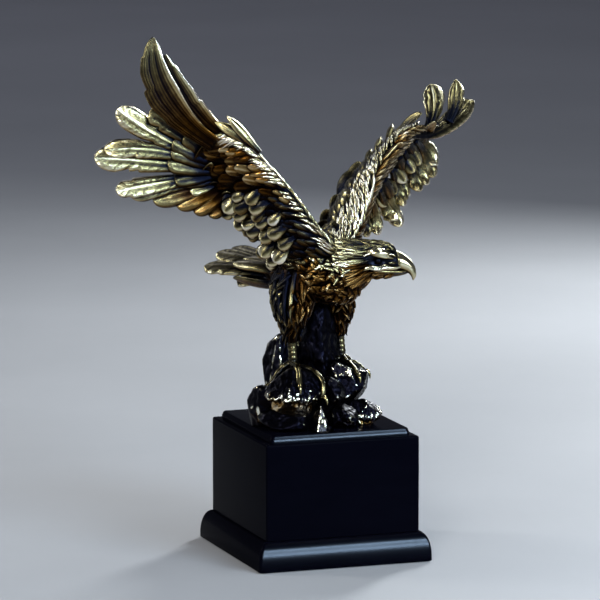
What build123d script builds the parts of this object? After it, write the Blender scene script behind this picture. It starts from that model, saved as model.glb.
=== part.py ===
from build123d import *
import math
import os

# Cast bronze eagle landing on a group of rocks, on a black wooden base with a moulded foot.
# Millimetres.  +Z up, +X to the right along the front of the base, -Y out of its front face.
# The origin is at the centre of the underside, on the felt that the base stands on.
# The eagle is drawn in its own frame, (forward, left, up), turned by HEADING about the Z axis.

# ---- Base: driving sizes ------------------------------------------------------------------
BLOCK_W = 100.0          # block, left to right
BLOCK_D = 106.0          # block, front to back
FOOT_OUT = 6.5           # how far the moulded foot stands out from the block
FOOT_SHELF = 0.4         # narrow flat between the block and the moulding
FOOT_FLAT = 4.0          # upright edge of the foot board
FOOT_TOP = 18.5          # top of the foot board
FELT_T = 1.5
FELT_PROUD = 0.5         # felt standing below the board
FELT_INSET = 5.0
PANEL_T = 10.0
PANEL_TOP = 78.5         # top of the four side panels
SLAB_INSET = 4.5         # raised slab on top of the block
SLAB_T = 4.5
PLUG_T = 12.0            # part of the top board that drops between the panels
GLUE_BLOCK = 16.0        # corner blocks inside the box
SCREW_D = 4.0
SCREW_HEAD_D = 8.0
SCREW_LENGTH = 34.0

BASE_TOP = PANEL_TOP + SLAB_T
INNER_W = BLOCK_W - 2 * PANEL_T
INNER_D = BLOCK_D - 2 * PANEL_T
PLUG_BOTTOM = PANEL_TOP - PLUG_T

# ---- Fasteners ----------------------------------------------------------------------------
STUD_D = 6.0
STUD_X = 18.0            # the two studs stand at +X and -X of the middle
STUD_TOP = 98.0
STUD_BOTTOM = 56.0
WASHER_D = 12.5
WASHER_T = 1.6
NUT_FLATS = 10.0
NUT_T = 5.0
FOOT_PIN_D = 3.0
WING_PIN_D = 5.0
NECK_PIN_D = 5.0
TAIL_PIN_D = 4.0

# ---- Eagle: driving sizes, (forward, left, up) ----------------------------------------------
HEADING = -68.0          # the way the chest faces, from +X towards +Y
ANKLE_Z = 122.0
LEG_SPREAD = 20.0        # each leg's distance from the middle
BODY_CENTRE = (0, 0, 181)
BODY_SECTIONS = [
    # ahead of the centre, rise, half width, half height
    (-33, -8, 7, 5),
    (-26, -6, 13, 10),
    (-14, -3, 18, 16),
    (0, 0, 20, 19),
    (14, 1, 20, 20),
    (25, 1, 15, 16),
    (31, 1, 8, 9),
]
HEAD_CENTRE = (29, 24, 186)
HEAD_SECTIONS = [
    (-14, -2, 8, 9),
    (-7, 0, 10, 11),
    (2, 0, 10, 10.5),
    (9, -0.5, 8, 8.5),
    (14, -2, 5, 6),
]
LOOK = 49.0              # the head is turned this far to the eagle's left
FEATHER_T = 2.4


def bird(forward, left, up):
    """A point of the eagle's own frame, in the part's frame."""
    turn = math.radians(HEADING)
    x = forward * math.cos(turn) - left * math.sin(turn)
    y = forward * math.sin(turn) + left * math.cos(turn)
    return Vector(x, y, up)


def biggest(shape):
    """The main solid that is left after a cut."""
    return max(shape.solids(), key=lambda solid: solid.volume)


def boxes_meet(a, b):
    """Whether two shapes could touch at all."""
    box_a = a.bounding_box()
    box_b = b.bounding_box()
    lows = zip(tuple(box_a.min), tuple(box_b.max))
    highs = zip(tuple(box_b.min), tuple(box_a.max))
    return all(low < high for low, high in lows) and all(low < high for low, high in highs)


def rod(start, end, diameter):
    """A round pin from one point to another."""
    way = end - start
    plane = Plane(origin=start, z_dir=way)
    return Solid.make_cylinder(diameter / 2, way.length, plane)


def taper(start, end, radius_a, radius_b):
    """A round limb that narrows from one point to another."""
    way = end - start
    return Part([Solid.make_cone(radius_a, radius_b, way.length, Plane(origin=start, z_dir=way))])


def ball(centre, radius):
    """A round knuckle."""
    return Pos(*centre) * Sphere(radius)


def egg(centre, spin, sections):
    """A rounded mass through upright ovals.  Each is (distance ahead, rise, half width, half height)."""
    heading = math.radians(spin)
    ahead = Vector(math.cos(heading), math.sin(heading), 0)
    faces = []
    for distance, rise, half_width, half_height in sections:
        at = centre + ahead * distance + Vector(0, 0, rise)
        plane = Plane(origin=at, x_dir=ahead.cross(Vector(0, 0, 1)), z_dir=ahead)
        faces.append(plane * Ellipse(half_width, half_height))
    return loft(faces)


def boulder(centre, radii, spin):
    """A faceted rock: three square-cut blocks, each turned another way, and what they share."""
    rock = None
    for turn in range(3):
        block = Rotation(37 * turn, 24 * turn - 12, spin + 41 * turn) * Box(2, 2, 2)
        rock = block if rock is None else rock & block
    return Pos(*centre) * scale(rock, by=radii)


def feather_outline(root, tip, width, bow):
    """The flat outline of one feather with a bowed middle line, in the plane of its fan."""
    way = tip - root
    length = way.length
    upper, lower = [], []
    for step in range(7):
        t = step / 6
        half = width / 2 * min(1.0, 0.45 + 1.6 * t) * math.sqrt(max(0.0, 1 - t ** 4))
        middle = 4 * bow * t * (1 - t)
        upper.append((length * t, middle + half))
        lower.append((length * t, middle - half))
    edges = Spline(*upper) + Spline(*lower) + Line(lower[0], upper[0])
    angle = math.degrees(math.atan2(way.Y, way.X))
    return Pos(root.X, root.Y) * Rotation(0, 0, angle) * make_face(edges)


def fan(quills, normal, web=0.45):
    """A fan of feathers cast as one plate.  Each is (root, tip, width, bow).

    The plate lies square to the normal.  A web joins the feathers over the first part of their
    length."""
    middle = sum((bird(*root) + bird(*tip) for root, tip, _, _ in quills), Vector()) / (2 * len(quills))
    plane = Plane(origin=middle, z_dir=bird(*normal))
    outline = None
    roots, rims = [], []
    for root, tip, width, bow in quills:
        flat_root = plane.to_local_coords(bird(*root))
        flat_tip = plane.to_local_coords(bird(*tip))
        flat_root = Vector(flat_root.X, flat_root.Y, 0)
        flat_tip = Vector(flat_tip.X, flat_tip.Y, 0)
        blade = feather_outline(flat_root, flat_tip, width, bow)
        outline = blade if outline is None else outline + blade
        roots.append(flat_root)
        rims.append(flat_root + (flat_tip - flat_root) * web)
    for i in range(len(roots) - 1):
        corners = [roots[i], rims[i], rims[i + 1], roots[i + 1]]
        flat = [(corner.X, corner.Y) for corner in corners]
        if (corners[3] - corners[0]).length < 1:
            flat = flat[:3]
        outline = outline + make_face(Polyline(*flat, flat[0]))
    return plane * Pos(0, 0, -FEATHER_T / 2) * extrude(outline, FEATHER_T)


def lofted(stations):
    """A limb through oval sections.  Each is (leading point, trailing point, thickness)."""
    centres = [(bird(*a) + bird(*b)) / 2 for a, b, _ in stations]
    faces = []
    for i, (lead, trail, thick) in enumerate(stations):
        along = centres[min(i + 1, len(centres) - 1)] - centres[max(i - 1, 0)]
        chord = bird(*trail) - bird(*lead)
        plane = Plane(origin=centres[i], x_dir=chord, z_dir=chord.cross(along.cross(chord)))
        faces.append(plane * Ellipse(chord.length / 2, thick / 2))
    return loft(faces)


# ---- Base -----------------------------------------------------------------------------------
def foot_half_profile(half):
    """Half of the foot board's section: upright edge, quarter-round, narrow shelf."""
    shelf_x = half + FOOT_SHELF
    outer = half + FOOT_OUT
    start = (0, FELT_PROUD)
    edges = Polyline(start, (outer, FELT_PROUD), (outer, FOOT_FLAT))
    edges += EllipticalCenterArc(
        (shelf_x, FOOT_FLAT), outer - shelf_x, FOOT_TOP - FOOT_FLAT, start_angle=0, arc_size=90
    )
    edges += Polyline((shelf_x, FOOT_TOP), (0, FOOT_TOP), start)
    return make_face(edges)


def moulded(half, reach, plane):
    """The foot's section on both sides of the middle, drawn out to the given reach."""
    side = foot_half_profile(half)
    both = side + mirror(side, about=Plane.YZ)
    return extrude(plane * both, reach, both=True)


reach = max(BLOCK_W, BLOCK_D)
across_x = moulded(BLOCK_W / 2, reach, Plane.XZ)
across_y = moulded(BLOCK_D / 2, reach, Plane.YZ)
plinth_board = across_x & across_y
felt_w = BLOCK_W + 2 * FOOT_OUT - 2 * FELT_INSET
felt_d = BLOCK_D + 2 * FOOT_OUT - 2 * FELT_INSET
felt_pad = Pos(0, 0, FELT_T / 2) * Box(felt_w, felt_d, FELT_T)
felt_pad = fillet(felt_pad.edges().filter_by(Axis.Z), 4)
plinth_board -= felt_pad


def panel(length, offset, turn):
    """One side of the box, mitred at both ends."""
    half = length / 2
    outline = Polyline(
        (-half, 0), (half, 0), (half - PANEL_T, PANEL_T), (PANEL_T - half, PANEL_T), (-half, 0)
    )
    board = extrude(make_face(outline), PANEL_TOP - FOOT_TOP)
    return Rotation(0, 0, turn) * Pos(0, -offset, FOOT_TOP) * board


front_panel = panel(BLOCK_W, BLOCK_D / 2, 0)
right_panel = panel(BLOCK_D, BLOCK_W / 2, 90)
back_panel = panel(BLOCK_W, BLOCK_D / 2, 180)
left_panel = panel(BLOCK_D, BLOCK_W / 2, 270)

slab = Pos(0, 0, PANEL_TOP) * Box(
    BLOCK_W - 2 * SLAB_INSET, BLOCK_D - 2 * SLAB_INSET, SLAB_T, align=(Align.CENTER, Align.CENTER, Align.MIN)
)
slab = fillet(slab.edges().group_by(Axis.Z)[-1], 3.0)
plug = Pos(0, 0, PLUG_BOTTOM) * Box(
    INNER_W, INNER_D, PLUG_T, align=(Align.CENTER, Align.CENTER, Align.MIN)
)
top_board = slab + plug

nodes = {}
corner_names = {
    "front_left": (-1, -1),
    "front_right": (1, -1),
    "back_left": (-1, 1),
    "back_right": (1, 1),
}
block_height = PLUG_BOTTOM - FOOT_TOP
for corner, (side_x, side_y) in corner_names.items():
    x = side_x * (INNER_W - GLUE_BLOCK) / 2
    y = side_y * (INNER_D - GLUE_BLOCK) / 2
    block = Pos(x, y, FOOT_TOP + block_height / 2) * Box(GLUE_BLOCK, GLUE_BLOCK, block_height)
    head_z = FELT_T
    shank = Pos(x, y, head_z + SCREW_LENGTH / 2) * Cylinder(SCREW_D / 2, SCREW_LENGTH)
    sunk = Pos(x, y, head_z + 1.5) * Cone(SCREW_HEAD_D / 2, SCREW_D / 2, 3.0)
    screw = shank + sunk
    plinth_board -= screw
    nodes[f"corner_block_{corner}"] = block - screw
    slot_cut = Pos(x, y, head_z + 0.5) * Box(SCREW_HEAD_D * 0.7, 1.2, 1.0)
    nodes[f"plinth_screw_{corner}"] = screw - slot_cut - Pos(x, y, head_z + 0.5) * Box(1.2, 5.6, 1.0)

# ---- Rocks ----------------------------------------------------------------------------------
rock_list = [
    # centre, radii, spin
    ((-1, 1, 88), (30, 31, 9), 8),         # spread at the bottom
    ((-24, -19, 99), (20, 18, 18), 12),    # under the right foot
    ((20, -5, 104), (15, 14, 17), 40),     # under the left foot
    ((-35, -9, 93), (11, 12, 16), 33),     # outer lump of the right foot's stone
    ((-19, 18, 108), (10, 11, 25), 25),    # lump behind the right leg
    ((3, 9, 117), (14, 13, 45), 5),        # pinnacle between the legs
    ((5, -18, 93), (12, 13, 13), 52),      # between the two feet
    ((-11, -41, 88), (8, 7, 13), 30),      # shard in front
    ((24, -20, 90), (12, 11, 9), 20),      # small stone at the right
    ((20, 18, 93), (15, 15, 13), 55),      # stones at the back
    ((-8, 28, 91), (17, 11, 10), 70),
]
rock_base = None
for centre, radii, spin in rock_list:
    stone = boulder(centre, radii, spin)
    rock_base = stone if rock_base is None else rock_base + stone
rock_base -= Pos(0, 0, BASE_TOP - 50) * Box(200, 200, 100)

# ---- Eagle: body, head, tail ----------------------------------------------------------------
body = egg(bird(*BODY_CENTRE), HEADING, BODY_SECTIONS)

look = HEADING + LOOK
head_mid = bird(*HEAD_CENTRE)
neck = lofted([
    ((8, 16, 178), (12, -12, 190), 36),
    ((17, 22, 180), (24, 1, 190), 29),
    ((22, 27, 184), (33, 14, 188), 22),
])
head = neck + egg(head_mid, look, HEAD_SECTIONS)
look_way = Vector(math.cos(math.radians(look)), math.sin(math.radians(look)), 0)
beak_root = head_mid + look_way * 9 + Vector(0, 0, -2)
beak_mid = head_mid + look_way * 19 + Vector(0, 0, -4)
beak_bend = head_mid + look_way * 23.5 + Vector(0, 0, -7.5)
beak_tip = head_mid + look_way * 24 + Vector(0, 0, -14)
head = head + taper(beak_root, beak_mid, 6.4, 4.4)
head = head + ball(beak_mid, 4.7) + taper(beak_mid, beak_bend, 4.4, 3.0)
head = head + ball(beak_bend, 3.3) + taper(beak_bend, beak_tip, 2.8, 0.7)

tail_root = (-24, -3, 171)
TAIL_TIPS = [(-66, -30, 175), (-72, -17, 179), (-74, -4, 181), (-71, 9, 179), (-64, 21, 175)]
TAIL_WIDTH = 14.0
tail = fan([(tail_root, tip, TAIL_WIDTH, 0) for tip in TAIL_TIPS], (0.1, 0, 1))
tail = tail + egg(bird(-31, -3, 172), HEADING, [(-12, 1, 7, 3), (0, 0, 9, 5), (12, 0, 7, 5)])

# ---- Eagle: legs and feet -------------------------------------------------------------------
THIGH = [
    # forward, up, radius along the body, radius across
    (-1, 172, 15, 11),
    (0, 157, 14, 11.5),
    (1, 144, 10, 8.5),
    (1, 136, 5.5, 5),
]
RIGHT_GIRTH = 1.0
LEFT_GIRTH = 0.85
RIGHT_TOES = [(-4, -33, 111), (22, -33, 110), (30, -16, 104), (-14, -10, 113)]
LEFT_TOES = [(8, 7, 109), (20, 14, 106), (20, 26, 105), (-12, 26, 112)]


def leg(side, girth, toe_tips):
    """Thigh, shank and foot on one side (+1 left, -1 right).  girth is the thigh's stoutness."""
    across = side * LEG_SPREAD
    sections = []
    for forward, up, along, wide in THIGH:
        plane = Plane(origin=bird(forward, across, up), x_dir=bird(1, 0, 0), z_dir=(0, 0, -1))
        sections.append(plane * Ellipse(along * girth, wide * girth))
    whole = loft(sections)
    ankle = bird(2, across, ANKLE_Z)
    whole = whole + taper(bird(1, across, 139), bird(2, across, ANKLE_Z - 2), 4.0, 4.4) + ball(ankle, 5.4)
    for tip in toe_tips:
        tip_at = bird(*tip)
        knuckle = ankle + (tip_at - ankle) * 0.62 + Vector(0, 0, 2.5)
        whole = whole + taper(ankle, knuckle, 3.4, 2.8)
        whole = whole + ball(knuckle, 3.2) + taper(knuckle, tip_at, 2.7, 1.0)
    return whole


right_leg = leg(-1, RIGHT_GIRTH, RIGHT_TOES)
left_leg = leg(1, LEFT_GIRTH, LEFT_TOES)

# ---- Eagle: wings ---------------------------------------------------------------------------
RIGHT_ARM = [
    ((20, -10, 198), (-14, -10, 186), 16),
    ((18, -28, 222), (-16, -29, 204), 14),
    ((12, -45, 246), (-20, -44, 219), 12),
    ((-3, -70, 271), (-23, -69, 241), 8),
]
LEFT_ARM = [
    ((20, 10, 200), (-16, 10, 188), 18),
    ((16, 30, 222), (-17, 30, 208), 17),
    ((11, 52, 246), (-18, 52, 227), 14),
    ((4, 80, 263), (-17, 78, 243), 8),
]
RIGHT_PRIMARIES = [
    # root, tip, width, bow
    ((-4, -68, 262), (-18, -114, 330), 14, -10),
    ((-1, -66, 264), (-10, -111, 315), 14, -6),
    ((-12, -70, 258), (-42, -123, 284), 15, 0),
    ((-12, -70, 255), (-36, -118, 272), 15, 0),
    ((-14, -70, 250), (-48, -137, 254), 16, 0),
    ((-15, -68, 246), (-42, -124, 234), 16, 3),
    ((-16, -64, 242), (-35, -103, 226), 15, 3),
]
RIGHT_SECONDARIES = [
    ((-16, -60, 243), (-29, -82, 221), 14, 2),
    ((-16, -54, 238), (-27, -64, 221), 13, 0),
    ((-16, -46, 232), (-27, -48, 216), 13, 0),
    ((-16, -38, 222), (-27, -42, 206), 13, 0),
    ((-16, -30, 214), (-26, -34, 195), 13, 0),
    ((-14, -22, 206), (-19, -22, 193), 13, 0),
]
LEFT_PRIMARIES = [
    ((-1, 78, 260), (-9, 143, 275), 13, 5),
    ((-2, 84, 261), (-8, 124, 288), 12, -4),
    ((-3, 78, 261), (-12, 102, 288), 13, -4),
    ((-8, 80, 256), (-24, 132, 262), 14, 0),
    ((-10, 76, 254), (-28, 126, 247), 14, 0),
    ((-12, 72, 250), (-28, 118, 236), 14, 0),
]
LEFT_SECONDARIES = [
    ((-13, 70, 246), (-22, 112, 222), 14, 0),
    ((-13, 64, 242), (-20, 92, 213), 13, 0),
    ((-14, 54, 234), (-16, 78, 198), 13, 0),
    ((-14, 44, 226), (-12, 59, 196), 13, 0),
    ((-14, 34, 216), (-18, 42, 198), 13, 0),
    ((-14, 26, 208), (-21, 31, 193), 12, 0),
]
# which way each fan's plate faces
RIGHT_PRIMARY_WAY = (0.87, -0.46, -0.20)
RIGHT_SECONDARY_WAY = (0.86, -0.37, -0.34)
LEFT_PRIMARY_WAY = (0.83, 0.18, -0.52)
LEFT_SECONDARY_WAY = (0.98, 0.02, -0.12)

right_wing_arm = lofted(RIGHT_ARM)
left_wing_arm = lofted(LEFT_ARM)
right_primaries = fan(RIGHT_PRIMARIES, RIGHT_PRIMARY_WAY)
left_primaries = fan(LEFT_PRIMARIES, LEFT_PRIMARY_WAY)
right_secondaries = fan(RIGHT_SECONDARIES, RIGHT_SECONDARY_WAY)
left_secondaries = fan(LEFT_SECONDARIES, LEFT_SECONDARY_WAY)

# ---- Joints between the castings ------------------------------------------------------------
head = biggest(head - body)
tail = biggest(tail - body)
right_leg = biggest(right_leg - body)
left_leg = biggest(left_leg - body)
right_wing_arm = biggest(right_wing_arm - body - head)
left_wing_arm = biggest(left_wing_arm - body - head)
right_primaries = biggest(right_primaries - right_wing_arm)
left_primaries = biggest(left_primaries - left_wing_arm)
right_secondaries = biggest(right_secondaries - right_primaries - right_wing_arm - body)
left_secondaries = biggest(left_secondaries - left_primaries - left_wing_arm - body)
rock_base = biggest(rock_base - right_leg - left_leg - body - tail)

pins = {
    "right_foot_pin": rod(bird(2, -LEG_SPREAD, 104), bird(2, -LEG_SPREAD, 133), FOOT_PIN_D),
    "left_foot_pin": rod(bird(2, LEG_SPREAD, 104), bird(2, LEG_SPREAD, 133), FOOT_PIN_D),
    "right_wing_pin": rod(bird(2, -8, 190), bird(0, -26, 213), WING_PIN_D),
    "left_wing_pin": rod(bird(2, 8, 190), bird(0, 27, 211), WING_PIN_D),
    "neck_pin": rod(bird(10, 2, 183), bird(26, 20, 186), NECK_PIN_D),
    "tail_pin": rod(bird(-20, -2, 173), bird(-42, -4, 173), TAIL_PIN_D),
}
for side, name in ((-1, "left_stud"), (1, "right_stud")):
    stud = rod(Vector(side * STUD_X, 0, STUD_BOTTOM), Vector(side * STUD_X, 0, STUD_TOP), STUD_D)
    top_board -= stud
    rock_base -= stud
    washer_at = Pos(side * STUD_X, 0, PLUG_BOTTOM - WASHER_T / 2)
    nut_at = Pos(side * STUD_X, 0, PLUG_BOTTOM - WASHER_T - NUT_T)
    nodes[name] = stud
    nodes[f"{name}_washer"] = washer_at * Cylinder(WASHER_D / 2, WASHER_T) - stud
    nodes[f"{name}_nut"] = nut_at * extrude(RegularPolygon(NUT_FLATS / 2, 6, major_radius=False), NUT_T) - stud

nodes.update({
    "felt_pad": felt_pad,
    "plinth_board": plinth_board,
    "front_panel": front_panel,
    "right_panel": right_panel,
    "back_panel": back_panel,
    "left_panel": left_panel,
    "top_board": top_board,
    "rock_base": rock_base,
    "body": body,
    "head": head,
    "tail": tail,
    "right_leg": right_leg,
    "left_leg": left_leg,
    "right_wing_arm": right_wing_arm,
    "left_wing_arm": left_wing_arm,
    "right_primaries": right_primaries,
    "left_primaries": left_primaries,
    "right_secondaries": right_secondaries,
    "left_secondaries": left_secondaries,
})
for pin_name, pin in pins.items():
    for name, shape in nodes.items():
        if boxes_meet(shape, pin):
            nodes[name] = shape - pin
nodes.update(pins)

os.makedirs("parts", exist_ok=True)
for name, shape in nodes.items():
    solids = shape.solids()
    whole = max(solids, key=lambda solid: solid.volume)
    if len(solids) > 1 or not whole.is_valid:
        print(name, "valid", whole.is_valid, [round(s.volume, 2) for s in solids])
    export_step(whole, f"parts/{name}.step")
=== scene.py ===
import functools
import math

import bmesh
import bpy
import numpy as np
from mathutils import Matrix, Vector, noise


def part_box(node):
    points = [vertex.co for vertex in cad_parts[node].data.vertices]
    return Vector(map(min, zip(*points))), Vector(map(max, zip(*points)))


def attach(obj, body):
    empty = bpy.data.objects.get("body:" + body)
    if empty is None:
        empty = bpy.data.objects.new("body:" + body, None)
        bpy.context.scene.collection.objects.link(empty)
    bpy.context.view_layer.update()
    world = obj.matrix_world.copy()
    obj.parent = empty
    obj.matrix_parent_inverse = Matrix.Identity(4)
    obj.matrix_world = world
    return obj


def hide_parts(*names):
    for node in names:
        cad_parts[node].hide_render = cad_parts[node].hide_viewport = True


# Bronze eagle statuette: the looks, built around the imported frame.  Shapes are drawn in
# millimetres and scaled once, in Casting.build.  The eagle has its own axes (forward, left, up),
# turned by HEADING about the vertical.
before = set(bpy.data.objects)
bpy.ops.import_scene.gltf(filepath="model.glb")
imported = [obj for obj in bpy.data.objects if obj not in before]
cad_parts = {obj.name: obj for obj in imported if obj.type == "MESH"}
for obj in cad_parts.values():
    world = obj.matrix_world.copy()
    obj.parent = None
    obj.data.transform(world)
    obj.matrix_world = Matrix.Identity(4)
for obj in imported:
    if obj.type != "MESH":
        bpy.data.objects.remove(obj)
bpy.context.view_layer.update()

MM = 0.001
HEADING = math.radians(-68)
LOOK = HEADING + math.radians(49)
FORWARD = np.array([math.cos(HEADING), math.sin(HEADING), 0.0])
LEFT = np.array([-math.sin(HEADING), math.cos(HEADING), 0.0])
UP = np.array([0.0, 0.0, 1.0])
LOOK_WAY = np.array([math.cos(LOOK), math.sin(LOOK), 0.0])
LOOK_SIDE = np.array([math.sin(LOOK), -math.cos(LOOK), 0.0])   # the head's right-hand side


def mm_box(node):
    """A CAD node's lowest and highest corner in millimetres."""
    low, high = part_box(node)
    return np.array(low) / MM, np.array(high) / MM


def bird(point):
    """(forward, left, up) to the frame's own axes."""
    p = np.asarray(point, float)
    return p[..., 0:1] * FORWARD + p[..., 1:2] * LEFT + p[..., 2:3] * UP


def head_point(ahead, side, up):
    """A point of the head: ahead along the look, side towards its right cheek, up."""
    return HEAD_CENTRE + ahead * LOOK_WAY + side * LOOK_SIDE + up * UP


def unit(v):
    length = np.linalg.norm(v, axis=-1, keepdims=True)
    return v / np.maximum(length, 1e-9)


def smooth(edge0, edge1, x):
    t = np.clip((x - edge0) / (edge1 - edge0), 0.0, 1.0)
    return t * t * (3 - 2 * t)


# ---- mesh making ----------------------------------------------------------------------------
class Casting:
    """Collects the closed shells of one casting, each point with what its colour needs: wear, how far it is
    polished, a painted warm reflection, how much of it the point gets, and plume, its place along and across
    a feather."""

    def __init__(self):
        self.verts, self.faces, self.wear, self.plume, self.brown = [], [], [], [], []
        self.count = 0

    def add(self, verts, faces, wear, plume=None, brown=0.0):
        verts = np.asarray(verts, float)
        self.brown.append(np.broadcast_to(np.asarray(brown, float), (len(verts),)))
        self.verts.append(verts)
        self.faces.extend([tuple(i + self.count for i in face) for face in faces])
        self.wear.append(np.broadcast_to(np.asarray(wear, float), (len(verts),)))
        self.plume.append(np.zeros((len(verts), 3)) if plume is None else plume)
        self.count += len(verts)

    def build(self, name, material, nodes):
        mesh = bpy.data.meshes.new(name)
        mesh.from_pydata((np.concatenate(self.verts) * MM).tolist(), [], self.faces)
        mesh.update()
        for attribute, kind, field, values in (
                ("wear", "FLOAT", "value", self.wear), ("brown", "FLOAT", "value", self.brown),
                ("plume", "FLOAT_VECTOR", "vector", self.plume)):
            layer = mesh.attributes.new(attribute, kind, "POINT")
            layer.data.foreach_set(field, np.concatenate(values).astype(np.float32).ravel())
        bm = bmesh.new()
        bm.from_mesh(mesh)
        bmesh.ops.recalc_face_normals(bm, faces=bm.faces)
        bm.to_mesh(mesh)
        bm.free()
        mesh.materials.append(material)
        mesh.polygons.foreach_set("use_smooth", [True] * len(mesh.polygons))
        piece = bpy.data.objects.new(name, mesh)
        bpy.context.scene.collection.objects.link(piece)
        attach(piece, "root")
        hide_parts(*nodes)
        return piece


@functools.cache
def ring_faces(rings, around):
    """Quads of a closed tube of rings, with a cap at each end."""
    faces = []
    for low in range(0, (rings - 1) * around, around):
        high = low + around
        for j in range(around):
            k = (j + 1) % around
            faces.append((low + j, low + k, high + k, high + j))
    last = (rings - 1) * around
    return faces + [tuple(range(around - 1, -1, -1)), tuple(range(last, last + around))]


class Tube:
    """A limb through oval sections: centre, half axis A and half axis B, smoothly joined."""

    def __init__(self, sections):
        self.data = np.array([np.concatenate(section) for section in sections], float)
        self.last = len(sections) - 1

    def section(self, s):
        s = np.clip(np.asarray(s, float), 0, 1) * self.last
        i = np.clip(s.astype(int), 0, self.last - 1)
        t = (s - i)[..., None]
        p0 = self.data[np.maximum(i - 1, 0)]
        p1, p2 = self.data[i], self.data[i + 1]
        p3 = self.data[np.minimum(i + 2, self.last)]
        m1, m2 = (p2 - p0) / 2, (p3 - p1) / 2
        t2, t3 = t * t, t * t * t
        row = (2 * t3 - 3 * t2 + 1) * p1 + (t3 - 2 * t2 + t) * m1 + (3 * t2 - 2 * t3) * p2 + (t3 - t2) * m2
        return row[..., 0:3], row[..., 3:6], row[..., 6:9]

    def point(self, s, phi):
        centre, a, b = self.section(s)
        phi = np.asarray(phi, float)[..., None]
        return centre + np.cos(phi) * a + np.sin(phi) * b

    def axes(self, s, phi):
        """Tangents along the limb and round it, and the outward normal."""
        step = 1e-3
        here = self.point(s, phi)
        along = (self.point(s + step, phi) - self.point(s - step, phi)) / (2 * step)
        around = (self.point(s, phi + step) - self.point(s, phi - step)) / (2 * step)
        normal = unit(np.cross(along, around))
        centre = self.section(s)[0]
        if np.sum(normal * (here - centre)) < 0:
            normal = -normal
        return here, along, around, normal

    def shell(self, casting, rings, around, wear=0.25, bump=None, brown=0.0):
        s = np.linspace(0, 1, rings)[:, None]
        phi = np.linspace(0, 2 * math.pi, around, endpoint=False)[None, :]
        s, phi = np.broadcast_arrays(s, phi)
        verts = self.point(s, phi)
        if bump is not None:
            centre = self.section(s)[0]
            verts = verts + unit(verts - centre) * bump(s, phi)[..., None]
        casting.add(verts.reshape(-1, 3), ring_faces(rings, around), wear, brown=brown)


def bow_point(path, t):
    """The point at share t of the curve that starts, passes its middle and ends where path says."""
    start, middle, end = path
    return (1 - t) ** 2 * start + 2 * t * (1 - t) * (2 * middle - (start + end) / 2) + t * t * end


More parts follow.
